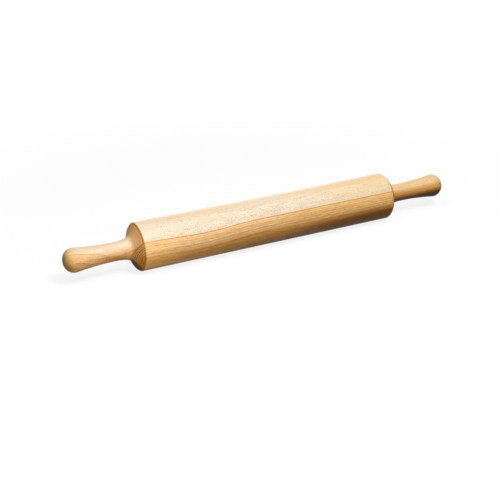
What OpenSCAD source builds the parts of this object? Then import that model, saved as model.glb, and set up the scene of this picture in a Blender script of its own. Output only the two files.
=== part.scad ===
// Beech rolling pin with fixed handles, turned in one go from a blank glued up
// from a thick and a thin board. All sizes are in millimetres.
// The pin's axis is X, and +Z is up as the pin lies on the worktop.

/* [Barrel] */
// Diameter of the rolling barrel
barrel_d = 60; // [54:1:66]
// Length of the barrel from rim to rim
barrel_l = 350; // [260:5:420]
// Radius sanded onto the barrel's rims
arris_r = 0.8; // [0.4:0.1:1.5]

/* [Shoulder] */
// How steeply the shoulder falls away where it leaves the rim, in degrees
rim_angle = 32; // [20:1:40]
// Radius of the shoulder's rounding
shoulder_r = 12; // [8:0.5:14]
// Steepest slope of the shoulder, in degrees
flank_angle = 62.5; // [58:0.5:70]
// Radius of the cove at the shoulder's foot
cove_r = 8.8; // [6:0.2:10]
// Slope at which the cove lets go into the neck, in degrees
cove_exit_angle = 12.4; // [8:0.2:14]
// Radius of the neck's run-out from the cove to the waist
runout_r = 67; // [40:1:80]

/* [Handle] */
// Diameter of the waist, the handle's thinnest place
waist_d = 23; // [20:0.5:26]
// Diameter of the grip at its fullest place
grip_d = 30; // [28:0.5:32]
// Distance along the axis from the waist to the fullest place
grip_l = 52.2; // [45:0.1:65]
// Radius of the grip's rounded shoulder in section
grip_round_r = 12.6; // [10:0.2:13]
// Radius of the flattened nose
nose_r = 29; // [22:1:40]

/* [Blank] */
// How far the blank is rolled about the pin's axis, in degrees
blank_roll = 46; // [0:1:90]
// Distance from the pin's axis to the glued joint
joint_offset = 7; // [0:0.5:8]
// Thickness of the glue in the joint
glue_t = 0.2; // [0.1:0.05:0.4]

/* [Hidden] */
$fn = 64;

// Points and circle centres below are [distance along the axis, radius].
// normal(a) points out of a surface that falls away at a degrees.
function normal(a) = [sin(a), cos(a)];
function slope_of(v) = atan2(v[0], v[1]);

barrel_r = barrel_d / 2;
waist_r = waist_d / 2;
half_barrel = barrel_l / 2;

// Shoulder: a full arc from the rim, then a straight flank
shoulder_c = [half_barrel, barrel_r] - shoulder_r * normal(rim_angle);
flank_start = shoulder_c + shoulder_r * normal(flank_angle);
// Radius lost on each arc, so that the flank takes up what is left
shoulder_drop = shoulder_r * (cos(rim_angle) - cos(flank_angle));
cove_drop = cove_r * (cos(cove_exit_angle) - cos(flank_angle));
runout_drop = runout_r * (1 - cos(cove_exit_angle));
flank_drop = barrel_r - waist_r - shoulder_drop - cove_drop - runout_drop;
flank_end = flank_start + [flank_drop / tan(flank_angle), -flank_drop];

// Rounded rim: touches the barrel's surface and the shoulder's arc from inside
arris_rise = barrel_r - arris_r - shoulder_c[1];
arris_run = sqrt(pow(shoulder_r - arris_r, 2) - pow(arris_rise, 2));
arris_c = shoulder_c + [arris_run, arris_rise];
arris_angle = slope_of(arris_c - shoulder_c);

// Cove and run-out: two hollow arcs that meet at the cove's exit slope
cove_c = flank_end + cove_r * normal(flank_angle);
runout_c = cove_c + (runout_r - cove_r) * normal(cove_exit_angle);

// Grip: a long hollow arc from the waist that touches the grip's rounding
grip_c = [runout_c[0] + grip_l, grip_d / 2 - grip_round_r];
waist_over_grip_c = waist_r - grip_c[1];
swell_r = (pow(grip_l, 2) + pow(waist_over_grip_c, 2) - pow(grip_round_r, 2))
    / (2 * (grip_round_r - waist_over_grip_c));
swell_c = [runout_c[0], waist_r + swell_r];
swell_angle = slope_of(swell_c - grip_c);

// Nose: a flatter arc, centred on the axis, that the rounding runs into
nose_back = sqrt(pow(nose_r - grip_round_r, 2) - pow(grip_c[1], 2));
nose_c = [grip_c[0] - nose_back, 0];
nose_angle = slope_of(grip_c - nose_c);
tip_x = nose_c[0] + nose_r;

// Degrees of slope between neighbouring points on the tight and the long arcs
tight_step = 5;
long_step = 1.5;

// Points along an arc between two slopes, without the first. A full arc has
// its centre inside the wood. A hollow arc has it outside, and a negative r.
function arc(centre, r, from, to, step) =
  let (steps = ceil(abs(to - from) / step))
  [for (i = [1:steps]) centre + r * normal(from + (to - from) * i / steps)];

// Outline of one end of the pin, from the barrel's rim to the tip
end_outline = concat(
  [[arris_c[0], barrel_r]],
  arc(arris_c, arris_r, 0, arris_angle, 2 * tight_step),
  arc(shoulder_c, shoulder_r, arris_angle, flank_angle, tight_step),
  [flank_end],
  arc(cove_c, -cove_r, flank_angle, cove_exit_angle, tight_step),
  arc(runout_c, -runout_r, cove_exit_angle, 0, long_step),
  arc(swell_c, -swell_r, 0, swell_angle, long_step),
  arc(grip_c, grip_round_r, swell_angle, nose_angle, tight_step),
  arc(nose_c, nose_r, nose_angle, 90, tight_step)
);

// Half-section of the whole pin, radius across and axis up the page
module pin_section() {
  last = len(end_outline) - 1;
  far_end = [for (p = end_outline) [p[1], p[0]]];
  near_end = [for (i = [last:-1:0]) [end_outline[i][1], -end_outline[i][0]]];
  polygon(concat(near_end, far_end));
}

// The whole turned shape, with its axis laid along X
module turned_shape() {
  rotate([0, 90, 0])
    rotate_extrude()
      pin_section();
}

// Layer of the turned shape between two heights in the glued-up blank
module turned_layer(low, high) {
  rotate([-blank_roll, 0, 0])
    intersection() {
      turned_shape();
      translate([-tip_x - 1, -barrel_r - 1, low])
        cube([2 * tip_x + 2, barrel_d + 2, high - low]);
    }
}

// Thick board, seen above the joint: barrel and handles are one piece of wood
module upper_board() {
  color("burlywood")
    turned_layer(-joint_offset + glue_t / 2, barrel_r + 1);
}

// Cured glue that fills the joint between the boards from tip to tip
module glue_line() {
  color("saddlebrown")
    turned_layer(-joint_offset - glue_t / 2, -joint_offset + glue_t / 2);
}

// Thin board, seen below the joint
module lower_board() {
  color("peru")
    turned_layer(-barrel_r - 1, -joint_offset - glue_t / 2);
}

upper_board();
glue_line();
lower_board();
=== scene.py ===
# %% [markdown]
# # A turned beech rolling pin
#
# The real pin is one long piece of beech, turned on a lathe: a plain barrel,
# two coved shoulders and two handles that never move. The blank was glued up
# from a thick and a thin board, and the joint runs from tip to tip. This lesson
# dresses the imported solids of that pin: it turns the same outline again as a
# finer mesh, saws it into the two boards and the glue between them, and then
# spends most effort on what makes beech look like beech.

import math

import bmesh
import bpy
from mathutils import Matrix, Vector


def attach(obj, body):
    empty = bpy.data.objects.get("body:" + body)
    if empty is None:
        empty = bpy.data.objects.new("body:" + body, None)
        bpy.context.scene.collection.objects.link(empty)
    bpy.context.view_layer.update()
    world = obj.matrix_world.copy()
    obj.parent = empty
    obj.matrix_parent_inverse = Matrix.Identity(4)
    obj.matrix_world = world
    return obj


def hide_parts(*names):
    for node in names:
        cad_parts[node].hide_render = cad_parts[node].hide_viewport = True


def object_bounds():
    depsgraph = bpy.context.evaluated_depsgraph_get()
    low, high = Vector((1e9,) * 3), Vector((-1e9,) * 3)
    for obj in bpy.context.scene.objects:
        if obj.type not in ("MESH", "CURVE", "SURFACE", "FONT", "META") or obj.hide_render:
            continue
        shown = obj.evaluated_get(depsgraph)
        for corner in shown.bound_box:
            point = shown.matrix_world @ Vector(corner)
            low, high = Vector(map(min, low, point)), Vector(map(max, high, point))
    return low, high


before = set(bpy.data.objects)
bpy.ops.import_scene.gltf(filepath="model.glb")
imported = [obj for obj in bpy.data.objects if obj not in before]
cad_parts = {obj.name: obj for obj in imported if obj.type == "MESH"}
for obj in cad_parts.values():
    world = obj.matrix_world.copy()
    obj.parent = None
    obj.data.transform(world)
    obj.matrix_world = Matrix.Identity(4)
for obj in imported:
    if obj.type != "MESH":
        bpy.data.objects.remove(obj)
solid_low, solid_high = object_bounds()
print("packed solids, in metres:", [round(side, 4) for side in solid_high - solid_low])

# %% [markdown]
# ## Small helpers
#
# An operator works on whatever is selected, and loading leaves the solids
# selected. So each step first drops every selection and then picks up the one
# piece it works on. Sizes are easier to read in millimetres, so they are
# multiplied by one name only when they reach Blender.

# %% Helpers for picking up a piece
MM = 0.001


def drop_selection():
    """Leave edit mode and let go of everything."""
    if bpy.context.mode != "OBJECT":
        bpy.ops.object.mode_set(mode="OBJECT")
    bpy.ops.object.select_all(action="DESELECT")


def pick_up(piece):
    """Make one piece the only selected and active one."""
    drop_selection()
    piece.select_set(True)
    bpy.context.view_layer.objects.active = piece


def edit_all(piece):
    """Open a piece in edit mode with its whole mesh selected."""
    pick_up(piece)
    bpy.ops.object.mode_set(mode="EDIT")
    bpy.ops.mesh.select_mode(type="VERT")
    bpy.ops.mesh.select_all(action="SELECT")


# %% [markdown]
# ## The camera
#
# The pin lies across the picture, seen from above its near side, with the left
# handle closer than the right one. A camera about a metre and a half away with
# a longish lens gives that gentle foreshortening. It could be aimed by eye.
# Here its place, angles and lens were fitted together to the pin's outline in
# the picture, so that every edge lands where it should.

# %% Place the camera
VIEW_AZIMUTH = math.radians(27.494)
VIEW_ELEVATION = math.radians(24.969)
CAMERA_PLACE = Vector((-654.65, -1216.88, 601.68)) * MM
LENS_MM = 85.51
SENSOR_MM = 36.0
SEES_FROM = 0.05
SEES_TO = 20.0

bpy.ops.object.camera_add(location=CAMERA_PLACE)
camera = bpy.context.object
camera.name = "studio_camera"
camera.rotation_euler = (math.pi / 2 - VIEW_ELEVATION, 0.0, -VIEW_AZIMUTH)
camera.data.sensor_width = SENSOR_MM
camera.data.lens = LENS_MM
camera.data.clip_start = SEES_FROM
camera.data.clip_end = SEES_TO
bpy.context.scene.camera = camera
print("camera at", [round(c, 4) for c in camera.location])

# %% [markdown]
# ## Draw half of the outline
#
# A turner works from a half outline, and so does this step. One vertex starts
# at the middle of the barrel. It is extruded along the straight stretches, and
# for each rounding it is spun about the centre of that arc, which gives a true
# arc and not a row of guessed points. The numbers are those of the solids:
# a full arc at the shoulder, a straight flank, a cove, a long run-out to the
# waist, the slow swell of the grip, its rounding and a flatter nose. Radii and
# lengths are in millimetres, and slopes in degrees.

# %% Outline values
BARREL_R = 30.0
HALF_BARREL = 175.0
ARRIS_R = 0.8
RIM_ANGLE = 32.0
SHOULDER_R = 12.0
FLANK_ANGLE = 62.5
COVE_R = 8.8
COVE_EXIT_ANGLE = 12.4
RUNOUT_R = 67.0
WAIST_R = 11.5
GRIP_R = 15.0
GRIP_L = 52.2
GRIP_ROUND_R = 12.6
NOSE_R = 29.0


def normal(angle):
    """Direction out of a surface that falls away at this angle: along, radius."""
    return Vector((math.sin(math.radians(angle)), math.cos(math.radians(angle))))


def slope_of(direction):
    """The angle at which a surface with this outward direction falls away."""
    return math.degrees(math.atan2(direction.x, direction.y))


# %% [markdown]
# ## Where the arcs are centred
#
# Two arcs meet without a kink when both centres lie on one line through the
# point where they meet. So each centre follows from the one before it, and only
# radii and slopes have to be chosen. The straight flank takes up the height
# that the arcs beside it leave.

# %% Centres of the arcs
shoulder_c = Vector((HALF_BARREL, BARREL_R)) - SHOULDER_R * normal(RIM_ANGLE)
arris_rise = BARREL_R - ARRIS_R - shoulder_c.y
arris_run = math.sqrt((SHOULDER_R - ARRIS_R) ** 2 - arris_rise**2)
arris_c = shoulder_c + Vector((arris_run, arris_rise))
arris_angle = slope_of(arris_c - shoulder_c)

flank_start = shoulder_c + SHOULDER_R * normal(FLANK_ANGLE)
foot_drop = COVE_R * (normal(COVE_EXIT_ANGLE).y - normal(FLANK_ANGLE).y)
runout_drop = RUNOUT_R * (1 - normal(COVE_EXIT_ANGLE).y)
flank_drop = flank_start.y - WAIST_R - foot_drop - runout_drop
flank_run = flank_drop / math.tan(math.radians(FLANK_ANGLE))
flank_end = flank_start + Vector((flank_run, -flank_drop))
cove_c = flank_end + COVE_R * normal(FLANK_ANGLE)
runout_c = cove_c + (RUNOUT_R - COVE_R) * normal(COVE_EXIT_ANGLE)

grip_c = Vector((runout_c.x + GRIP_L, GRIP_R - GRIP_ROUND_R))
waist_over_grip = WAIST_R - grip_c.y
swell_reach = GRIP_L**2 + waist_over_grip**2 - GRIP_ROUND_R**2
swell_r = swell_reach / (2 * (GRIP_ROUND_R - waist_over_grip))
swell_c = Vector((runout_c.x, WAIST_R + swell_r))
swell_angle = slope_of(swell_c - grip_c)
nose_back = math.sqrt((NOSE_R - GRIP_ROUND_R) ** 2 - grip_c.y**2)
nose_c = Vector((grip_c.x - nose_back, 0.0))
nose_angle = slope_of(grip_c - nose_c)
print("waist at", round(runout_c.x, 2), "mm, tip at", round(nose_c.x + NOSE_R, 2), "mm")


# %% Pencil strokes for the outline
def draw_line(run, rise, pieces):
    """Extrude the last vertex in a straight line, in equal pieces."""
    step = (run / pieces * MM, 0.0, rise / pieces * MM)
    for _ in range(pieces):
        bpy.ops.mesh.extrude_region_move(TRANSFORM_OT_translate={"value": step})


def draw_arc(centre, turn, pieces):
    """Spin the last vertex about an arc's centre, by the change of slope."""
    middle = (centre.x * MM, 0.0, centre.y * MM)
    bpy.ops.mesh.spin(steps=pieces, angle=-math.radians(turn), center=middle, axis=(0, 1, 0))


# %% Draw it
SCRAP_SIDE = 10.0
BARREL_PIECES = 35
ARRIS_PIECES = 5
SHOULDER_PIECES = 10
FLANK_PIECES = 3
COVE_PIECES = 12
RUNOUT_PIECES = 8
SWELL_PIECES = 20
ROUNDING_PIECES = 16
NOSE_PIECES = 5

drop_selection()
bpy.ops.mesh.primitive_plane_add(size=SCRAP_SIDE * MM)
turned = bpy.context.object
turned.name = "turned_pin"
edit_all(turned)
bpy.ops.mesh.merge(type="CENTER")
bpy.ops.transform.translate(value=(0, 0, BARREL_R * MM))
draw_line(arris_c.x, 0.0, BARREL_PIECES)
draw_arc(arris_c, arris_angle, ARRIS_PIECES)
draw_arc(shoulder_c, FLANK_ANGLE - arris_angle, SHOULDER_PIECES)
draw_line(flank_end.x - flank_start.x, flank_end.y - flank_start.y, FLANK_PIECES)
draw_arc(cove_c, COVE_EXIT_ANGLE - FLANK_ANGLE, COVE_PIECES)
draw_arc(runout_c, -COVE_EXIT_ANGLE, RUNOUT_PIECES)
draw_arc(swell_c, swell_angle, SWELL_PIECES)
draw_arc(grip_c, nose_angle - swell_angle, ROUNDING_PIECES)
draw_arc(nose_c, 90 - nose_angle, NOSE_PIECES)
turned.update_from_editmode()
outline_end = max(vertex.co.x for vertex in turned.data.vertices)
print("outline of", len(turned.data.vertices), "points, ends at", round(outline_end / MM, 2), "mm")

# %% [markdown]
# ## Turn it
#
# The lathe's work is one full spin of the outline about the pin's axis. The
# two ends are alike, so the other half is a mirror of the first. Where the
# halves meet, and at the tips, doubled vertices are merged, so that the skin
# is closed.

# %% Spin and mirror
ROUND_STEPS = 240
MERGE_M = 0.000002


def close_skin(piece):
    """Merge doubled vertices and turn every face outwards."""
    edit_all(piece)
    bpy.ops.mesh.remove_doubles(threshold=MERGE_M)
    bpy.ops.mesh.normals_make_consistent(inside=False)
    drop_selection()


bpy.ops.mesh.select_all(action="SELECT")
bpy.ops.mesh.spin(steps=ROUND_STEPS, angle=math.tau, center=(0, 0, 0), axis=(1, 0, 0))
bpy.ops.mesh.select_all(action="SELECT")
bpy.ops.mesh.remove_doubles(threshold=MERGE_M)
drop_selection()

pick_up(turned)
mirror = turned.modifiers.new("other_end", "MIRROR")
mirror.use_axis = (True, False, False)
mirror.merge_threshold = MERGE_M
bpy.ops.object.modifier_apply(modifier=mirror.name)
close_skin(turned)
print("turned skin:", len(turned.data.polygons), "faces,", turned.dimensions)

# %% [markdown]
# ## Saw it into boards
#
# The glued joint is a plane that runs the length of the pin, rolled towards
# the viewer, so its edge shows as one thin dark line along the barrel. Each
# board is the turned shape cut off at that plane with a filled bisect, and the
# glue is the thin slice left between two such cuts. A cut is sharper and
# simpler here than a boolean. The solids are rolled one degree more, half a
# millimetre on the barrel, so that they come to rest. This roll fits the line
# in the picture.

# %% Cut a layer out of the turned shape
BLANK_ROLL = math.radians(45.0)
JOINT_OFFSET = 7.0
GLUE_T = 0.2
NO_GAP = 0.0000001

joint_up = Vector((0.0, math.sin(BLANK_ROLL), math.cos(BLANK_ROLL)))


def saw(piece, height, keep_above):
    """Cut a piece at a height in the blank, close the cut and keep one side."""
    edit_all(piece)
    bpy.ops.mesh.bisect(
        plane_co=joint_up * height * MM,
        plane_no=joint_up,
        use_fill=True,
        clear_inner=keep_above,
        clear_outer=not keep_above,
        threshold=NO_GAP,
    )
    drop_selection()


def copy_of(piece, name):
    """Copy a piece together with its mesh."""
    copied = piece.copy()
    copied.data = piece.data.copy()
    copied.name = name
    bpy.context.scene.collection.objects.link(copied)
    return copied


# %% Upper board, glue and lower board
glue_top = -JOINT_OFFSET + GLUE_T / 2
glue_bottom = -JOINT_OFFSET - GLUE_T / 2

upper_board = copy_of(turned, "beech_upper_board")
saw(upper_board, glue_top, keep_above=True)

lower_board = copy_of(turned, "beech_lower_board")
saw(lower_board, glue_bottom, keep_above=False)

glue = turned
glue.name = "joint_glue"
saw(glue, glue_top, keep_above=False)
saw(glue, glue_bottom, keep_above=True)
boards = (upper_board, glue, lower_board)
print("sawn into", [board.name for board in boards])

# %% [markdown]
# ## Score the joint
#
# A sawn face comes out as one long polygon, with no points inside it that could
# follow the wind of the next step. So it is scored crosswise at every ring of
# the barrel. A bisect that keeps both sides does that and changes no shape.

# %% Score the joint's faces crosswise
barrel_step = arris_c.x / BARREL_PIECES


def score_joint(piece):
    """Divide the flat joint face crosswise, where the barrel's rings meet it."""
    edit_all(piece)
    for number in range(-BARREL_PIECES, BARREL_PIECES + 1):
        place = (number * barrel_step * MM, 0, 0)
        bpy.ops.mesh.select_all(action="SELECT")
        bpy.ops.mesh.bisect(plane_co=place, plane_no=(1, 0, 0), threshold=NO_GAP)
    drop_selection()


for board in boards:
    score_joint(board)
    print(board.name, len(board.data.polygons), "faces")

# %% [markdown]
# ## A little wind in the blank
#
# Wood moves after it is glued. On the real pin the joint is straight for most
# of its length and sags by a few millimetres in the left half of the barrel,
# and the grain sags with it. Turning every cross-section there by a few
# degrees about the pin's axis does just that, and leaves the round shape as it
# is. Bending the boards would not.

# %% Turn the cross-sections
WIND_PEAK = math.radians(-5.2)
WIND_MIDDLE = -97.0
WIND_REACH = 76.0


def wind(along):
    """How far a cross-section is turned, by its distance along the pin in mm."""
    share = min(abs(along - WIND_MIDDLE) / WIND_REACH, 1.0)
    return WIND_PEAK * 0.5 * (1 + math.cos(math.pi * share))


def turn_sections(piece):
    """Rotate each ring of vertices in reach about the pin's axis."""
    edit_all(piece)
    mesh = bmesh.from_edit_mesh(piece.data)
    rings = {}
    for vertex in mesh.verts:
        rings.setdefault(round(vertex.co.x / MM, 2), []).append(vertex)
    for along, ring in rings.items():
        if wind(along) == 0.0:
            continue
        bpy.ops.mesh.select_all(action="DESELECT")
        for vertex in ring:
            vertex.select = True
        mesh.select_flush_mode()
        bpy.ops.transform.rotate(value=wind(along), orient_axis="X", center_override=(0, 0, 0))
    drop_selection()


for board in boards:
    turn_sections(board)
print("the joint sags by", round(-math.degrees(wind(WIND_MIDDLE)), 1), "degrees at most")

# %% [markdown]
# ## Close the pieces and hang them on the solids
#
# Sawing and scoring leave doubled vertices, which are merged so that each piece
# is one closed skin. Sanded wood has no facets, so edges flatter than a limit
# are shaded smooth, and the joint's edge stays sharp. A subdivision would round
# that edge too. Each piece then rides on the pin's body and stands for one of
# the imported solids.

# %% Close, smooth and hang the pieces on the solids
SMOOTH_BELOW = math.radians(30.0)

for board, node in zip(boards, ("upper_board", "glue_line", "lower_board")):
    close_skin(board)
    pick_up(board)
    bpy.ops.object.shade_smooth_by_angle(angle=SMOOTH_BELOW)
    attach(board, "root")
    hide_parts(node)
    print(board.name, "stands for", node)

# %% [markdown]
# ## Words for the recipes
#
# Every finish below is a recipe of shader nodes, worked out from the place of
# each point in the pin, so the figure runs through the wood as it does in a
# real board: rings on the end of a shoulder line up with the stripes on the
# barrel. A picture wrapped round the pin could not do that. Two small classes
# keep the recipes short. Each word adds one node and hands on its output.

# %% Paint-chart colours
# The curve of a chart's values: straight near black, and a power above that
DARK_END = 0.04045
DARK_SLOPE = 12.92
CURVE_SHIFT = 0.055
CURVE_POWER = 2.4


def linear(value):
    """One part of a colour, 0 to 255, as the share of light it stands for."""
    share = value / 255
    if share <= DARK_END:
        return share / DARK_SLOPE
    return ((share + CURVE_SHIFT) / (1 + CURVE_SHIFT)) ** CURVE_POWER


def tone(red, green, blue):
    """A colour as read off a paint chart, in Blender's linear values."""
    return (linear(red), linear(green), linear(blue), 1.0)


print("middle grey on the chart is", round(linear(128), 3), "of full light")


# %% Words that reckon
class Sums:
    """A node tree, and the words that reckon in it."""

    def __init__(self, tree):
        self.tree = tree

    def node(self, kind, **settings):
        """Add a node and set its options."""
        made = self.tree.nodes.new(kind)
        for setting, value in settings.items():
            setattr(made, setting, value)
        return made

    def feed(self, socket, source):
        """Plug in another node's output, or set a plain value."""
        if isinstance(source, bpy.types.NodeSocket):
            self.tree.links.new(source, socket)
        else:
            socket.default_value = source

    def calc(self, operation, *sources):
        """Arithmetic on numbers."""
        made = self.node("ShaderNodeMath", operation=operation)
        for socket, source in zip(made.inputs, sources):
            self.feed(socket, source)
        return made.outputs[0]

    def times(self, first, second):
        """Multiply two numbers."""
        return self.calc("MULTIPLY", first, second)

    def unsigned(self, source):
        """A number without its sign."""
        return self.calc("ABSOLUTE", source)

    def aim(self, operation, *sources):
        """Arithmetic on places and directions."""
        made = self.node("ShaderNodeVectorMath", operation=operation)
        for socket, source in zip(made.inputs, sources):
            self.feed(socket, source)
        return made.outputs["Value" if operation in ("LENGTH", "DOT_PRODUCT") else "Vector"]


# %% Words for places, smooth steps, noise and colours
class Recipe(Sums):
    """A material, and the words that it is made with."""

    def __init__(self, name):
        self.material = bpy.data.materials.new(name)
        self.material.use_nodes = True
        super().__init__(self.material.node_tree)
        self.tree.nodes.clear()

    def join(self, x, y, z=0.0):
        """Put three numbers together as a place."""
        made = self.node("ShaderNodeCombineXYZ")
        for socket, source in zip(made.inputs, (x, y, z)):
            self.feed(socket, source)
        return made.outputs[0]

    def parts(self, place):
        """Take a place apart again: along the pin, across it and up."""
        made = self.node("ShaderNodeSeparateXYZ")
        self.feed(made.inputs[0], place)
        return made.outputs

    def ease(self, source, span, first, last):
        """Go smoothly from first to last as the source crosses the span."""
        made = self.node("ShaderNodeMapRange", interpolation_type="SMOOTHSTEP")
        for socket, value in zip(made.inputs, (source, *span, first, last)):
            self.feed(socket, value)
        return made.outputs[0]

    def rise(self, source, span, most=1.0):
        """Go smoothly up from nothing across the span."""
        return self.ease(source, span, 0.0, most)

    def fall(self, source, span, most=1.0):
        """Go smoothly down to nothing across the span."""
        return self.ease(source, span, most, 0.0)

    def stretch(self, place, grain):
        """Scale a place for noise: specks per mm along the pin and across it."""
        along, across = grain
        return self.aim("MULTIPLY", place, (along, across, across))

    def cloud(self, place, detail=2.0, roughness=0.5, output=0):
        """Soft noise, mostly between 0.3 and 0.7."""
        made = self.node("ShaderNodeTexNoise")
        self.feed(made.inputs["Vector"], place)
        self.feed(made.inputs["Scale"], 1.0)
        self.feed(made.inputs["Detail"], detail)
        self.feed(made.inputs["Roughness"], roughness)
        return made.outputs[output]

    def tint(self, share, first, second, how="MIX"):
        """Mix a share of a second colour into the first."""
        made = self.node("ShaderNodeMix", data_type="RGBA", blend_type=how)
        self.feed(made.inputs["Factor"], share)
        self.feed(made.inputs[6], first)
        self.feed(made.inputs[7], second)
        return made.outputs[2]

    def darken_by(self, colour, share, darken_by):
        """Darken a colour by a share of a second one, as wood stains do and as painted shade does."""
        return self.tint(share, colour, darken_by, how="MULTIPLY")

    def show(self, surface):
        """Plug the finished surface into the material."""
        out = self.node("ShaderNodeOutputMaterial")
        self.feed(out.inputs["Surface"], surface)
        return self.material


# %% [markdown]
# ## Where a point lies in the blank
#
# A figure in wood is worked out in the blank, before it is turned. Each recipe
# starts from the point's own place, in millimetres, and takes back the wind of
# the blank, so that rings and fibres sag where the joint sags. Spans of place
# below are in millimetres too, along the pin from its middle or over the joint.

# %% The unwound place
def blank_place(recipe):
    """The point's place in the blank in mm, with the wind taken back."""
    here = recipe.node("ShaderNodeTexCoord").outputs["Object"]
    place = recipe.aim("MULTIPLY", here, (1 / MM, 1 / MM, 1 / MM))
    along = recipe.parts(place)[0]
    away = recipe.unsigned(recipe.calc("SUBTRACT", along, WIND_MIDDLE))
    share = recipe.calc("MINIMUM", recipe.calc("DIVIDE", away, WIND_REACH), 1.0)
    swing = recipe.calc("ADD", recipe.calc("COSINE", recipe.times(share, math.pi)), 1.0)
    unwound = recipe.node("ShaderNodeVectorRotate", rotation_type="X_AXIS")
    recipe.feed(unwound.inputs["Vector"], place)
    recipe.feed(unwound.inputs["Angle"], recipe.times(swing, WIND_PEAK / 2))
    return unwound.outputs[0]


# %% Over the joint, and on the barrel
BARREL_FADE = (174.0, 184.0)


def over_joint(recipe, place):
    """Height over the glued joint, in mm, below it negative."""
    height = recipe.aim("DOT_PRODUCT", place, tuple(joint_up))
    return recipe.calc("ADD", height, JOINT_OFFSET)


def on_barrel(recipe, along):
    """1 on the barrel, 0 on both handles."""
    return recipe.fall(recipe.unsigned(along), BARREL_FADE)


# %% [markdown]
# ## Growth rings
#
# A beech tree lays down one ring a year, and a board is a slice through them.
# The recipe measures how far a point is from the tree's centre, its pith, and
# counts rings. Late wood, at the end of each ring, is a little darker. The
# distance is first swayed by soft noise, which turns straight lines into the
# arches and ovals of flat-sawn wood.

# %% Rings about a pith
NOISE_MEAN = 0.5
SWAY_GRAIN = (0.006, 0.021)
SWAY_DETAIL = 3.0
SWAY_ROUGHNESS = 0.45
UNEVEN_GRAIN = 0.16
UNEVEN_SEED = 3.7
UNEVEN_YEARS = 1.6
LATE_WOOD_STARTS = (0.45, 0.85)
LATE_WOOD_STOPS = (0.90, 1.00)


def growth_rings(wood, pith, ring_width, sway):
    """Late wood, the tone of each ring, and the way from the pith."""
    roam = wood.stretch(wood.place, SWAY_GRAIN)
    roam = wood.cloud(roam, SWAY_DETAIL, SWAY_ROUGHNESS, "Color")
    centred = wood.aim("SUBTRACT", roam, (NOISE_MEAN,) * 3)
    swayed = wood.aim("ADD", wood.place, wood.aim("MULTIPLY", centred, (0.0, sway, sway)))
    from_pith = wood.aim("SUBTRACT", swayed, (0.0, *pith))
    from_pith = wood.aim("MULTIPLY", from_pith, (0, 1, 1))
    radius = wood.aim("LENGTH", from_pith)
    uneven = wood.cloud(wood.join(wood.times(radius, UNEVEN_GRAIN), UNEVEN_SEED))
    years = wood.calc("DIVIDE", radius, ring_width)
    years = wood.calc("ADD", years, wood.times(uneven, UNEVEN_YEARS))
    share = wood.calc("FRACT", years)
    late = wood.times(wood.rise(share, LATE_WOOD_STARTS), wood.fall(share, LATE_WOOD_STOPS))
    year = wood.node("ShaderNodeTexWhiteNoise", noise_dimensions="1D")
    wood.feed(year.inputs["W"], wood.calc("FLOOR", years))
    return late, year.outputs["Value"], from_pith


# %% [markdown]
# ## Fibres
#
# Fibres run along the board. They could be a picture, but noise that is
# stretched about eight to forty times along the pin gives them at any size, in
# three layers: broad streaks, pencil-fine ones and single fibres. Each layer
# darkens the wood a little where its noise is high.

# %% Fibres
# Each layer's specks per mm along the board and across it, and its detail
FIBRE_LAYERS = (((0.011, 0.40), 3.0), ((0.09, 1.2), 2.0), ((0.32, 2.6), 2.0))
FIBRE_ROUGHNESS = 0.6


def fibres(wood):
    """Broad streaks, fine streaks and single fibres, all about 0.5 in the mean."""
    layers = []
    for grain, detail in FIBRE_LAYERS:
        layers.append(wood.cloud(wood.stretch(wood.place, grain), detail, FIBRE_ROUGHNESS))
    return layers


def draw_fibres(wood, colour, stains):
    """Darken the wood where each layer's noise is high, each by its own darker colour."""
    for layer, (span, most, darken_by) in zip(wood.layers, stains):
        colour = wood.darken_by(colour, wood.rise(layer, span, most), darken_by)
    return colour


# %% [markdown]
# ## Rays
#
# Rays run outwards from the pith as thin upright sheets. Where the surface cuts
# across them they show as the small brown spindles that tell beech from other
# pale woods. They are laid out as scattered cells in a grid of length along the
# pin and distance round the pith, so each ray keeps its place at every depth.
# Noise would give blots and not separate spindles.

# %% Ray flecks
RAY_ROUND = 60.0
SPINDLE_EDGE = (0.14, 0.40)
FAINTEST_RAY = 0.25
RAY_SPREAD = 0.85
RAY_POWER = 2.0


def ray_flecks(wood, spacing, share, facing):
    """Spindles where rays meet the surface: how strong each point's fleck is."""
    _, across, up = wood.parts(wood.from_pith)
    around = wood.times(wood.calc("ARCTAN2", across, up), RAY_ROUND)
    length, height = spacing
    down = wood.calc("DIVIDE", wood.along, length)
    side = wood.calc("DIVIDE", around, height)
    cells = wood.node("ShaderNodeTexVoronoi", voronoi_dimensions="2D", feature="F1")
    wood.feed(cells.inputs["Vector"], wood.join(down, side))
    wood.feed(cells.inputs["Scale"], 1.0)
    wood.feed(cells.inputs["Randomness"], 1.0)
    chance = wood.node("ShaderNodeSeparateColor")
    wood.feed(chance.inputs[0], cells.outputs["Color"])
    kept = wood.calc("GREATER_THAN", share, chance.outputs[0])
    spindle = wood.times(wood.fall(cells.outputs["Distance"], SPINDLE_EDGE), kept)
    strength = wood.calc("POWER", chance.outputs[1], RAY_POWER)
    strength = wood.calc("MULTIPLY_ADD", strength, RAY_SPREAD, FAINTEST_RAY)
    return wood.times(wood.times(spindle, strength), wood.rise(wood.flat, facing))


# %% [markdown]
# ## How the surface meets the wood
#
# A board looks different by the way it is cut: end grain on the shoulders and
# noses, and flat or upright rings round the barrel. Two dot products with the
# surface's direction tell them apart, one with the pin's length and one with
# the way out from the pith.

# %% How a surface meets the wood
END_GRAIN_SHOWS = (0.25, 0.85)


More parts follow.
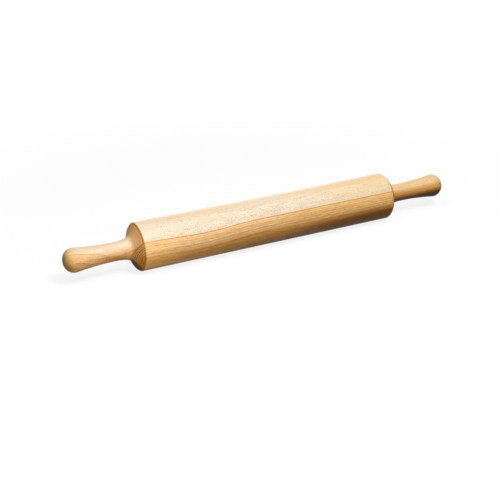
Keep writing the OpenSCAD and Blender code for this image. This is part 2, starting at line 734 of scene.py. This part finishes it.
def surface_facts(wood):
    """How much end grain a point shows, and how squarely it faces the rings."""
    facing = wood.node("ShaderNodeTexCoord").outputs["Normal"]
    end_on = wood.unsigned(wood.aim("DOT_PRODUCT", facing, (1, 0, 0)))
    outward = wood.aim("NORMALIZE", wood.from_pith)
    flat = wood.unsigned(wood.aim("DOT_PRODUCT", facing, outward))
    return wood.rise(end_on, END_GRAIN_SHOWS), flat


# %% All that a board's recipe knows about a point
class Board(Recipe):
    """The recipe of one board, with the facts about each of its points."""

    def __init__(self, name, pith, ring_width, sway):
        super().__init__(name)
        self.place = blank_place(self)
        self.along = self.parts(self.place)[0]
        self.height = over_joint(self, self.place)
        self.late, self.year, self.from_pith = growth_rings(self, pith, ring_width, sway)
        self.layers = fibres(self)
        self.coarse, _, self.fine = self.layers
        self.end_on, self.flat = surface_facts(self)


# %% [markdown]
# ## The joint's edges and the end grain
#
# Glue and sanding dust darken the wood within half a millimetre of the joint.
# End grain drinks more oil than the side of a board, so the shoulders come out
# browner than the barrel, and browner still on the rounded rim. Both are thin
# stains over the wood's own colour, by distance from the joint or the middle.

# %% Darken the joint's edges and the end grain
JOINT_STAIN = tone(200, 160, 112)
JOINT_STAIN_SHARE = 0.75
JOINT_STAIN_REACH = (GLUE_T / 2, 0.5)
SHOULDER_FOOT = (196.0, 214.0)
HANDLE_THIRST = 0.3
RIM_BAND = (176.0, 184.0)
RIM_LINE_STARTS = (175.0, 175.8)
RIM_LINE_STOPS = (176.2, 178.0)


def stain_joint(wood, colour):
    """Darken the wood right beside the joint, along the barrel."""
    near = wood.fall(wood.unsigned(wood.height), JOINT_STAIN_REACH, JOINT_STAIN_SHARE)
    return wood.darken_by(colour, wood.times(near, on_barrel(wood, wood.along)), JOINT_STAIN)


def oil_end_grain(wood, colour, oils):
    """Oil the end grain, once all over, once more by the rim and once on it."""
    all_over, by_rim, on_rim = oils
    out = wood.unsigned(wood.along)
    thirst = wood.times(wood.end_on, wood.ease(out, SHOULDER_FOOT, 1.0, HANDLE_THIRST))
    colour = wood.darken_by(colour, thirst, all_over)
    colour = wood.darken_by(colour, wood.times(wood.end_on, wood.fall(out, RIM_BAND)), by_rim)
    line = wood.times(wood.rise(out, RIM_LINE_STARTS), wood.fall(out, RIM_LINE_STOPS))
    return wood.darken_by(colour, line, on_rim)


# %% [markdown]
# ## Painted shade on the side it lies on
#
# Along the whole lower edge the pin is darker than a soft light alone would leave it, most of all at
# the far end and the shoulders. That darkness is painted shade: the colour is darkened by how far the
# surface faces down, with a second, narrower band of painted shade under the shoulders.

# %% Paint shade on the side it lies on
# How far down a point lies round the pin: 0 level with the axis, 1 lowest
UNDERSIDE = (0.60, 0.73)
SHOULDER_UNDERSIDE = (0.70, 0.90)
ALONG_UNDERSIDE = (-150.0, 150.0)
NEAR_END_SHARE = 0.60
SHOULDER_SHARE = 0.75
SHOULDER_STARTS = (175.0, 178.0)
UNDERSIDE_STOPS = (186.0, 198.0)
SHOULDER_STOPS = (186.0, 196.0)
# Colours of the painted shade
UNDERSIDE_PAINTED_SHADE = tone(116, 104, 62)
SHOULDER_PAINTED_SHADE = tone(124, 116, 62)


def paint_shade_underside(wood, colour):
    """Paint shade on the side it lies on, most of all at the shoulders."""
    _, across, up = wood.parts(wood.place)
    round_r = wood.aim("LENGTH", wood.join(0.0, across, up))
    downward = wood.calc("DIVIDE", wood.times(up, -1.0), round_r)
    out = wood.unsigned(wood.along)
    # Where painted shade falls: low on the barrel and on the shoulders
    low = wood.times(wood.rise(downward, UNDERSIDE), wood.fall(out, UNDERSIDE_STOPS))
    barrel = wood.times(low, wood.ease(wood.along, ALONG_UNDERSIDE, NEAR_END_SHARE, 1.0))
    shoulder = wood.times(low, wood.rise(out, SHOULDER_STARTS, SHOULDER_SHARE))
    colour = wood.darken_by(colour, wood.calc("MAXIMUM", barrel, shoulder), UNDERSIDE_PAINTED_SHADE)
    # A second, narrower band of painted shade under the shoulders
    foot = wood.times(wood.rise(out, SHOULDER_STARTS), wood.fall(out, SHOULDER_STOPS))
    foot = wood.times(foot, wood.rise(downward, SHOULDER_UNDERSIDE))
    return wood.darken_by(colour, foot, SHOULDER_PAINTED_SHADE)


# %% [markdown]
# ## The maker's finish
#
# The pin was sanded on the lathe and wiped with oil: a soft satin, slightly
# rougher on end grain, with the faintest rings left by the tool. The relief is
# too small for a mesh, so it is a bump of a fraction of a millimetre, and open
# fibres and late wood add to it.

# %% Put the finish on
TOOL_RINGS_PER_MM = 1.9
TOOL_RING_SEED = 7.0
TOOL_RINGS_ON_SIDE = 0.3
TOOL_RINGS_ON_END = 0.7
FIBRE_RELIEF = 0.6
LATE_WOOD_RELIEF = 0.15
FLECK_RELIEF = -0.25
WOOD_RELIEF = (0.35, 0.15)
WOOD_SHINE = 0.12
WOOD_ROUGHNESS = 0.42
FIBRE_ROUGHENS = 0.16
END_GRAIN_ROUGHENS = 0.16
FLECK_ROUGHENS = -0.06


def coat(recipe, colour, roughness, shine, height, relief):
    """The last layer: colour, gloss and a relief given as strength and mm."""
    strength, depth = relief
    bump = recipe.node("ShaderNodeBump")
    bump.inputs["Strength"].default_value = strength
    bump.inputs["Distance"].default_value = depth * MM
    recipe.feed(bump.inputs["Height"], height)
    skin = recipe.node("ShaderNodeBsdfPrincipled")
    skin.inputs["Specular IOR Level"].default_value = shine
    recipe.feed(skin.inputs["Base Color"], colour)
    recipe.feed(skin.inputs["Roughness"], roughness)
    recipe.feed(skin.inputs["Normal"], bump.outputs[0])
    return recipe.show(skin.outputs[0])


def finish_wood(wood, colour, flecks):
    """Satin oil over sanded beech, with tool rings and open fibres as relief."""
    rings = wood.cloud(wood.join(wood.times(wood.along, TOOL_RINGS_PER_MM), TOOL_RING_SEED))
    shown = wood.calc("MULTIPLY_ADD", wood.end_on, TOOL_RINGS_ON_END, TOOL_RINGS_ON_SIDE)
    height = wood.calc("MULTIPLY_ADD", wood.fine, FIBRE_RELIEF, wood.times(rings, shown))
    height = wood.calc("MULTIPLY_ADD", wood.late, LATE_WOOD_RELIEF, height)
    height = wood.calc("MULTIPLY_ADD", flecks, FLECK_RELIEF, height)
    rough = wood.calc("MULTIPLY_ADD", wood.fine, FIBRE_ROUGHENS, WOOD_ROUGHNESS)
    rough = wood.calc("MULTIPLY_ADD", wood.end_on, END_GRAIN_ROUGHENS, rough)
    rough = wood.calc("MULTIPLY_ADD", flecks, FLECK_ROUGHENS, rough)
    return coat(wood, colour, rough, WOOD_SHINE, height, WOOD_RELIEF)


# %% [markdown]
# ## The near handle
#
# On the near handle the wood is peach on top and runs down through honey to
# amber. A warmer tongue, where the lathe cut through to other rings, comes
# round to the front, and its edge, a thin darker line, climbs slowly towards
# the handle's end. A third board would be wrong there. So the tongue is a zone
# of colour in both boards, with its edge given by height over the joint.

# %% The tongue's edge
# From and to along the pin, and how far the edge climbs there, in mm
TONGUE_STEPS = (
    ((-178.0, -188.0), -5.0),
    ((-190.0, -210.0), 1.7),
    ((-208.0, -233.0), 8.6),
    ((-232.0, -264.0), 4.4),
)


def tongue_edge(wood):
    """Height of the tongue's edge over the joint, in mm."""
    edge = 0.0
    for span, climb in TONGUE_STEPS:
        edge = wood.calc("ADD", edge, wood.rise(wood.along, span, climb))
    return edge


# %% Tones of the near handle
PEACH = tone(237, 214, 184)
NECK_AMBER = tone(217, 166, 98)
GRIP_AMBER = tone(226, 191, 142)
NOSE_STAIN = tone(255, 250, 220)
NECK_TO_GRIP = (-212.0, -236.0)
PEACH_TO_AMBER = (10.0, -5.0)
NOSE_STARTS = (-250.0, -266.0)
NEAR_HANDLE_STARTS = (-181.0, -190.0)


def near_handle_ground(wood, colour):
    """Peach on top of the near handle, running down through honey to amber."""
    amber = wood.tint(wood.rise(wood.along, NECK_TO_GRIP), NECK_AMBER, GRIP_AMBER)
    handle = wood.tint(wood.rise(wood.height, PEACH_TO_AMBER), PEACH, amber)
    handle = wood.darken_by(handle, wood.rise(wood.along, NOSE_STARTS), NOSE_STAIN)
    return wood.tint(wood.rise(wood.along, NEAR_HANDLE_STARTS), colour, handle)


# %% Lay the tongue
TONGUE_STARTS = (-186.0, -206.0)
TONGUE_RAGGED = 2.5
UNDER_THE_EDGE = (-0.9, 0.5)
EDGE_LINE = (0.1, 0.9)
EDGE_LINE_SHARE = 0.45
TONGUE_STAIN = tone(252, 238, 214)
EDGE_LINE_STAIN = tone(214, 176, 130)


def lay_tongue(wood, colour):
    """A warmer tongue of wood, with a thin darker edge, on the near handle."""
    over = wood.calc("SUBTRACT", wood.height, tongue_edge(wood))
    uneven = wood.calc("SUBTRACT", wood.coarse, NOISE_MEAN)
    ragged = wood.calc("MULTIPLY_ADD", uneven, TONGUE_RAGGED, over)
    here = wood.rise(wood.along, TONGUE_STARTS)
    under = wood.times(wood.fall(ragged, UNDER_THE_EDGE), here)
    colour = wood.darken_by(colour, under, TONGUE_STAIN)
    line = wood.fall(wood.unsigned(ragged), EDGE_LINE, EDGE_LINE_SHARE)
    return wood.darken_by(colour, wood.times(line, here), EDGE_LINE_STAIN)


# %% [markdown]
# ## The pale, flecked board
#
# The upper board shows its flat face to the viewer: cream wood, peppered with
# ray flecks just above the joint, and warmer towards the top and the far end,
# where the surface runs into older rings. The ground comes first, as wide
# gradients by height over the joint and by place along the pin, and the figure
# is drawn over it.

# %% Ground of the thick board
CREAM = tone(240, 225, 201)
TOP_PEACH = tone(244, 219, 184)
PATCH_GRAIN = (0.012, 0.05)
PATCH_HEIGHT = 14.0
CREAM_TO_PEACH = (28.0, 38.0)
FAR_END_CREAM = tone(247, 217, 170)
TO_FAR_END = (0.0, 165.0)
FAR_END_HEIGHTS = (4.0, 26.0)
FAR_END_LOW_SHARE = 0.5
JOINT_HONEY = tone(247, 214, 166)
NEAR_JOINT = (3.5, 0.0)
NEAR_JOINT_SHARE = 0.7
FAR_HANDLE_TOP = tone(243, 210, 158)
FAR_HANDLE_LOW = tone(228, 164, 84)
FAR_HANDLE_HEIGHTS = (8.0, 0.0)
FAR_HANDLE_STARTS = (171.0, 190.0)


def cream_ground(wood):
    """Cream, peach towards the top, and orange on the far handle."""
    patch = wood.cloud(wood.stretch(wood.place, PATCH_GRAIN))
    patchy_height = wood.calc("MULTIPLY_ADD", patch, PATCH_HEIGHT, wood.height)
    colour = wood.tint(wood.rise(patchy_height, CREAM_TO_PEACH), CREAM, TOP_PEACH)
    far = wood.ease(wood.height, FAR_END_HEIGHTS, FAR_END_LOW_SHARE, 1.0)
    far = wood.times(wood.rise(wood.along, TO_FAR_END), far)
    colour = wood.tint(far, colour, FAR_END_CREAM)
    colour = wood.tint(wood.rise(wood.height, NEAR_JOINT, NEAR_JOINT_SHARE), colour, JOINT_HONEY)
    handle = wood.rise(wood.height, FAR_HANDLE_HEIGHTS)
    handle = wood.tint(handle, FAR_HANDLE_TOP, FAR_HANDLE_LOW)
    return wood.tint(wood.rise(wood.along, FAR_HANDLE_STARTS), colour, handle)


# %% [markdown]
# ## How densely the flecks lie
#
# The flecks are most crowded a few millimetres above the joint. They thin out
# towards the top and the far end, and drift in loose clusters. Each point gets
# the share of cells that hold a fleck, so the spindles stay crisp where they
# get rare.

# %% Crowd the flecks
CROWDED_HEIGHTS = (2.0, 14.0)
CROWDED_SHARES = (0.60, 0.36)
BARE_BY_JOINT = (0.8, 3.2)
BARE_SHARE = 0.4
THIN_HEIGHTS = (12.0, 24.0)
THIN_BY_HEIGHT = 0.24
THIN_ALONG = (-30.0, 90.0)
THIN_BY_PLACE = 0.18
CLUSTER_GRAIN = (0.07, 0.22)
CLUSTER_NOISE = (0.36, 0.62)
CLUSTER_SHARES = (0.6, 1.5)


def pale_crowding(wood):
    """The share of cells with a fleck on the pale board."""
    crowded = wood.ease(wood.height, CROWDED_HEIGHTS, *CROWDED_SHARES)
    crowded = wood.times(crowded, wood.ease(wood.height, BARE_BY_JOINT, BARE_SHARE, 1.0))
    by_height = wood.rise(wood.height, THIN_HEIGHTS, THIN_BY_HEIGHT)
    by_place = wood.rise(wood.along, THIN_ALONG, THIN_BY_PLACE)
    crowded = wood.calc("SUBTRACT", crowded, wood.calc("ADD", by_height, by_place))
    cluster = wood.cloud(wood.stretch(wood.place, CLUSTER_GRAIN))
    return wood.times(crowded, wood.ease(cluster, CLUSTER_NOISE, *CLUSTER_SHARES))


# %% Flecked beech
PALE_PITH = (30.0, -30.0)
PALE_RING_WIDTH = 1.9
PALE_SWAY = 16.0
PALE_YEAR = (0.08, tone(236, 204, 160))
PALE_LATE_WOOD = (0.14, tone(222, 188, 140))
PALE_FIBRES = (
    ((0.48, 0.72), 0.20, tone(226, 190, 146)),
    ((0.45, 0.70), 0.13, tone(205, 170, 130)),
    ((0.45, 0.70), 0.22, tone(205, 176, 140)),
)
PALE_RAY_SPACING = (2.7, 0.9)
PALE_RAYS_FACE = (0.5, 0.85)
RAYS_ON_HANDLE = 0.25
RAYS_MORE_ON_BARREL = 0.60
PALE_RAY = tone(150, 114, 74)
PALE_OILS = (tone(250, 218, 176), tone(242, 222, 188), tone(186, 160, 118))


def flecked_beech():
    """The upper board's wood."""
    wood = Board("flecked_beech", PALE_PITH, PALE_RING_WIDTH, PALE_SWAY)
    colour = cream_ground(wood)
    colour = near_handle_ground(wood, colour)
    colour = lay_tongue(wood, colour)
    for ring, (share, darken_by) in ((wood.year, PALE_YEAR), (wood.late, PALE_LATE_WOOD)):
        colour = wood.darken_by(colour, wood.times(ring, share), darken_by)
    colour = draw_fibres(wood, colour, PALE_FIBRES)
    flecks = ray_flecks(wood, PALE_RAY_SPACING, pale_crowding(wood), PALE_RAYS_FACE)
    shown = on_barrel(wood, wood.along)
    shown = wood.calc("MULTIPLY_ADD", shown, RAYS_MORE_ON_BARREL, RAYS_ON_HANDLE)
    colour = wood.tint(wood.times(flecks, shown), colour, PALE_RAY)
    colour = oil_end_grain(wood, colour, PALE_OILS)
    colour = stain_joint(wood, colour)
    return finish_wood(wood, colour, flecks)


# %% [markdown]
# ## The honey-coloured board
#
# The lower board was cut the other way: its rings meet the barrel almost
# square, so its face is all fine, straight stripes along the pin. Two darker
# stripes are drawn one by one. On the shoulder the same rings are cut across
# and show as slanting lines, parallel to the joint at first and then steeper.

# %% A darker stripe in the grain
WAVER_GRAIN = 0.05
WAVER_SWING = 0.06
STRIPE_FADES_IN = 40.0
STRIPE_FADES_OUT = 60.0


def stripe(wood, lift, drift, half_width, start, stop):
    """A dark stripe: lift and drift in degrees about the pin, the rest in mm."""
    along, across, up = wood.parts(wood.place)
    angle = wood.calc("ARCTAN2", up, wood.times(across, -1.0))
    middle = wood.calc("MULTIPLY_ADD", along, math.radians(drift), math.radians(lift))
    waver = wood.cloud(wood.join(wood.times(along, WAVER_GRAIN), lift))
    waver = wood.calc("SUBTRACT", waver, NOISE_MEAN)
    middle = wood.calc("MULTIPLY_ADD", waver, WAVER_SWING, middle)
    away = wood.unsigned(wood.calc("SUBTRACT", angle, middle))
    band = wood.fall(wood.times(away, BARREL_R), (0.0, half_width))
    fade_in = wood.rise(along, (start, start + STRIPE_FADES_IN))
    fade_out = wood.fall(along, (stop - STRIPE_FADES_OUT, stop))
    return wood.times(band, wood.times(fade_in, fade_out))


# %% Ground of the thin board
NEAR_HONEY = tone(250, 210, 150)
FAR_HONEY = tone(255, 208, 136)
HONEY_ALONG = (-60.0, 120.0)
# Amber deeper below the joint: partly the board's own tone, partly painted shade
NEAR_AMBER_AND_SHADE = tone(242, 186, 106)
FAR_AMBER_AND_SHADE = tone(240, 178, 96)
AMBER_AND_SHADE_ALONG = (-140.0, -20.0)
AMBER_AND_SHADE_DEPTHS = (-10.5, -17.5)
# A lighter gold band lowest on the board: painted bounce light
LOW_PAINTED_BOUNCE = tone(255, 204, 124)
PAINTED_BOUNCE_DEPTHS = (-19.0, -22.5)
# Painted shade low on the board towards the far end
FAR_PAINTED_SHADE = tone(186, 168, 136)
FAR_PAINTED_SHADE_DEPTHS = (-14.0, -20.0)
FAR_PAINTED_SHADE_ALONG = (-20.0, 150.0)
FAR_ORANGE = tone(238, 172, 86)
# Brown under the far handle's orange: painted shade
FAR_HANDLE_PAINTED_SHADE = tone(112, 86, 42)
FAR_HANDLE_SHADE_DEPTHS = (0.5, -6.5)
LOWER_FAR_HANDLE_STARTS = (174.0, 186.0)


def honey_ground(wood):
    """Honey by the joint, amber deeper in that is partly painted shade, a gold band of painted bounce
    light, and painted shade towards the far end and under the far handle.
    """
    colour = wood.tint(wood.rise(wood.along, HONEY_ALONG), NEAR_HONEY, FAR_HONEY)
    # Amber, partly painted shade, deeper below the joint
    amber = wood.tint(wood.rise(wood.along, AMBER_AND_SHADE_ALONG), NEAR_AMBER_AND_SHADE, FAR_AMBER_AND_SHADE)
    colour = wood.tint(wood.rise(wood.height, AMBER_AND_SHADE_DEPTHS), colour, amber)
    # Painted bounce light as a gold band lowest on the board
    colour = wood.tint(wood.rise(wood.height, PAINTED_BOUNCE_DEPTHS), colour, LOW_PAINTED_BOUNCE)
    # Painted shade low towards the far end
    far = wood.times(wood.rise(wood.height, FAR_PAINTED_SHADE_DEPTHS), wood.rise(wood.along, FAR_PAINTED_SHADE_ALONG))
    colour = wood.darken_by(colour, far, FAR_PAINTED_SHADE)
    # On the far handle, orange darkens to brown below as painted shade
    handle = wood.tint(wood.rise(wood.height, FAR_HANDLE_SHADE_DEPTHS), FAR_ORANGE, FAR_HANDLE_PAINTED_SHADE)
    return wood.tint(wood.rise(wood.along, LOWER_FAR_HANDLE_STARTS), colour, handle)


# %% Plain beech
HONEY_PITH = (-60.0, -25.0)
HONEY_RING_WIDTH = 2.5
HONEY_SWAY = 7.0
HONEY_YEAR_SHARE = 0.14
HONEY_YEAR = tone(236, 190, 138)
HONEY_LATE_WOOD = tone(160, 116, 66)
RINGS_ON_SIDE = 0.22
RINGS_MORE_ON_SHOULDER = 0.38
HONEY_FIBRES = (
    ((0.48, 0.70), 0.26, tone(222, 176, 122)),
    ((0.50, 0.72), 0.60, tone(220, 166, 108)),
    ((0.50, 0.72), 0.60, tone(218, 164, 108)),
)
STRIPES = ((11.2, 0.030, 1.0, -190.0, 90.0), (1.4, 0.085, 1.2, -150.0, 40.0))
STRIPE_SHARE = 0.28
STRIPE_STAIN = tone(190, 146, 98)
HONEY_RAY_SPACING = (3.6, 1.2)
HONEY_RAY_SHARE = 0.5
HONEY_RAYS_FACE = (0.45, 0.8)
HONEY_RAY_SHOWS = 0.35
HONEY_RAY = tone(170, 132, 92)
HONEY_OILS = (tone(216, 198, 150), tone(250, 244, 232), tone(222, 204, 172))


def plain_beech():
    """The lower board's wood."""
    wood = Board("plain_beech", HONEY_PITH, HONEY_RING_WIDTH, HONEY_SWAY)
    colour = honey_ground(wood)
    colour = near_handle_ground(wood, colour)
    colour = lay_tongue(wood, colour)
    colour = wood.darken_by(colour, wood.times(wood.year, HONEY_YEAR_SHARE), HONEY_YEAR)
    shown = wood.times(wood.end_on, wood.fall(wood.unsigned(wood.along), SHOULDER_FOOT))
    shown = wood.calc("MULTIPLY_ADD", shown, RINGS_MORE_ON_SHOULDER, RINGS_ON_SIDE)
    colour = wood.darken_by(colour, wood.times(wood.late, shown), HONEY_LATE_WOOD)
    colour = draw_fibres(wood, colour, HONEY_FIBRES)
    for facts in STRIPES:
        colour = wood.darken_by(colour, wood.times(stripe(wood, *facts), STRIPE_SHARE), STRIPE_STAIN)
    flecks = ray_flecks(wood, HONEY_RAY_SPACING, HONEY_RAY_SHARE, HONEY_RAYS_FACE)
    colour = wood.darken_by(colour, wood.times(flecks, HONEY_RAY_SHOWS), HONEY_RAY)
    colour = oil_end_grain(wood, colour, HONEY_OILS)
    colour = stain_joint(wood, colour)
    # Painted shade on the side the pin lies on, most at the shoulders
    colour = paint_shade_underside(wood, colour)
    return finish_wood(wood, colour, flecks)


# %% [markdown]
# ## The glue in the joint
#
# Cured glue is a hard brown film. Sanding smears wood dust into it, so even
# this thin line is not one flat brown: short darker and lighter stretches
# follow each other along it. On the slim handles the dust all but hides it.

# %% Wood glue
DUST_GRAIN = (0.18, 0.8)
DUST_DETAIL = 3.0
DUST_ROUGHNESS = 0.6
DUST_SHOWS = (0.35, 0.68)
GLUE_DARK = tone(120, 80, 44)
GLUE_DUSTY = tone(176, 128, 80)
GLUE_HIDDEN = tone(236, 192, 138)
GLUE_SHINE = 0.4
GLUE_RELIEF = (0.3, 0.05)
GLUE_GLOSS_NOISE = (0.3, 0.7)
GLUE_ROUGHNESSES = (0.34, 0.55)


def cured_glue():
    """The film between the boards."""
    film = Recipe("cured_glue")
    place = blank_place(film)
    dust = film.cloud(film.stretch(place, DUST_GRAIN), DUST_DETAIL, DUST_ROUGHNESS)
    line = film.tint(film.rise(dust, DUST_SHOWS), GLUE_DARK, GLUE_DUSTY)
    colour = film.tint(on_barrel(film, film.parts(place)[0]), GLUE_HIDDEN, line)
    rough = film.ease(dust, GLUE_GLOSS_NOISE, *GLUE_ROUGHNESSES)
    return coat(film, colour, rough, GLUE_SHINE, dust, GLUE_RELIEF)


# %% [markdown]
# ## Dress the pieces
#
# Each piece takes one finish. Only now are the recipes run.

# %% Put the finishes on the pieces
finishes = (flecked_beech(), cured_glue(), plain_beech())
slots = ("beech_flecked", "wood_glue", "beech_plain")
for board, finish, slot_name in zip(boards, finishes, slots):
    board.data.materials.clear()
    board.data.materials.append(finish)
    print(board.name, "wears", finish.name, "with", len(finish.node_tree.nodes), "nodes")

# %% [markdown]
# ## The floor
#
# The pin lies on a sweep of pale paper. The camera, and anything glossy, sees
# white paper with the pin's own shadow on it. What the paper sends back up to
# the pin is kept low, as in a studio with dark walls, so the underside falls
# into shade and the barrel looks round. Light Path tells the two apart. The
# white is partly a glow, a little weaker close to the pin, because lamps bright
# enough for white paper would burn out the pale wood.

# %% Paper for the floor
PAPER_DULL = 0.05
PAPER_PALE = 0.16
GLOW_SPAN = (0.25, 1.0)
GLOW_BY_PIN = 0.86


def seen_directly(sums):
    """1 for rays from the camera, and for those that gloss or glass send on."""
    path = sums.node("ShaderNodeLightPath")
    seen = sums.calc("MAXIMUM", path.outputs["Is Camera Ray"], path.outputs["Is Glossy Ray"])
    return sums.calc("MAXIMUM", seen, path.outputs["Is Transmission Ray"])


def matt(recipe, grey):
    """A matt surface of one grey."""
    made = recipe.node("ShaderNodeBsdfDiffuse")
    made.inputs["Color"].default_value = (grey, grey, grey, 1)
    return made.outputs[0]


def studio_paper():
    """White where it is seen, and a dull bounce where it only lights the pin."""
    paper = Recipe("studio_paper")
    glow = paper.node("ShaderNodeEmission")
    from_pin = paper.aim("LENGTH", paper.node("ShaderNodeTexCoord").outputs["Object"])
    strength = paper.ease(from_pin, GLOW_SPAN, GLOW_BY_PIN, 1.0)
    paper.feed(glow.inputs["Strength"], strength)
    white = paper.node("ShaderNodeAddShader")
    paper.feed(white.inputs[0], matt(paper, PAPER_PALE))
    paper.feed(white.inputs[1], glow.outputs[0])
    pick = paper.node("ShaderNodeMixShader")
    paper.feed(pick.inputs[0], seen_directly(paper))
    paper.feed(pick.inputs[1], matt(paper, PAPER_DULL))
    paper.feed(pick.inputs[2], white.outputs[0])
    return paper.show(pick.outputs[0])


# %% Lay the floor
FLOOR_Z = solid_low.z
FLOOR_SIDE = 12.0

drop_selection()
bpy.ops.mesh.primitive_plane_add(size=FLOOR_SIDE, location=(0, 0, FLOOR_Z))
floor = bpy.context.object
floor.name = "studio_floor"
floor.data.materials.append(studio_paper())
print("floor at", round(FLOOR_Z / MM, 2), "mm")

# %% [markdown]
# ## The light
#
# Two broad round lamps hang high over the pin, one towards its near end and one over the viewer's
# side. Together they make a soft band of light along the top and let the lower half fall off gently.
# Two small weak lamps lie low in front: one keeps the underside of the near handle warm and readable,
# and one does the same for the near half of the barrel. The last lies low behind the pin and lights
# its far side.

# %% A lamp and a place for it
PIN_MIDDLE = (0, 0, 0)
ALL_ROUND = 180.0


def aim_lamp(name, place, target, size, watts, spread=ALL_ROUND):
    """Hang a round soft lamp, in metres and watts, with its spread in degrees."""
    bpy.ops.object.light_add(type="AREA", location=place)
    lamp = bpy.context.object
    lamp.name = name
    lamp.data.shape = "DISK"
    lamp.data.size = size
    lamp.data.energy = watts
    lamp.data.spread = math.radians(spread)
    lamp.visible_camera = False
    way = Vector(target) - Vector(place)
    lamp.rotation_euler = way.to_track_quat("-Z", "Y").to_euler()
    print(name, "hangs", round(way.length, 2), "m away")


def from_angles(azimuth, elevation, distance):
    """A place round the pin; azimuth 0 is the viewer's side, -90 the near end."""
    turn = math.radians(azimuth)
    lift = math.radians(elevation)
    level = math.cos(lift)
    way = Vector((math.sin(turn) * level, -math.cos(turn) * level, math.sin(lift)))
    return way * distance


# %% Hang the lamps
over_near_end = from_angles(azimuth=-75, elevation=65, distance=1.4)
over_viewer = from_angles(azimuth=10, elevation=58, distance=1.2)
low_behind = from_angles(azimuth=155, elevation=6, distance=1.2)
by_handle = (-0.27, -0.28, 0.0)
under_handle = (-0.25, 0.0, -0.012)
by_barrel = (-0.34, -0.29, 0.02)
under_barrel = (-0.10, 0.0, -0.01)

aim_lamp("near_end_light", over_near_end, PIN_MIDDLE, size=0.5, watts=5.4)
aim_lamp("front_light", over_viewer, PIN_MIDDLE, size=0.45, watts=12.1)
aim_lamp("handle_fill", by_handle, under_handle, size=0.05, watts=0.015, spread=50.0)
aim_lamp("side_fill", by_barrel, under_barrel, size=0.08, watts=0.062, spread=70.0)
aim_lamp("back_fill", low_behind, PIN_MIDDLE, size=0.5, watts=3.6)

# %% [markdown]
# ## The world
#
# Beyond the floor there is only the background, with the paper's rule: white
# where it is seen, and no light of its own on the pin. A bright world would
# light the pin evenly from all sides and take its roundness away. The Standard
# view shows the colours as they were mixed.

# %% Hang the backdrop
world = bpy.data.worlds.new("studio_world")
bpy.context.scene.world = world
world.use_nodes = True
backdrop = world.node_tree.nodes["Background"]
backdrop.inputs["Color"].default_value = (1, 1, 1, 1)
sky = Sums(world.node_tree)
sky.feed(backdrop.inputs["Strength"], seen_directly(sky))
bpy.context.scene.view_settings.view_transform = "Standard"
print(world.name, "has", len(sky.tree.nodes), "nodes")

# %% [markdown]
# ## Bring the scene up to date
#
# Last, the scene is brought up to date.

# %% Update the scene
bpy.context.view_layer.update()
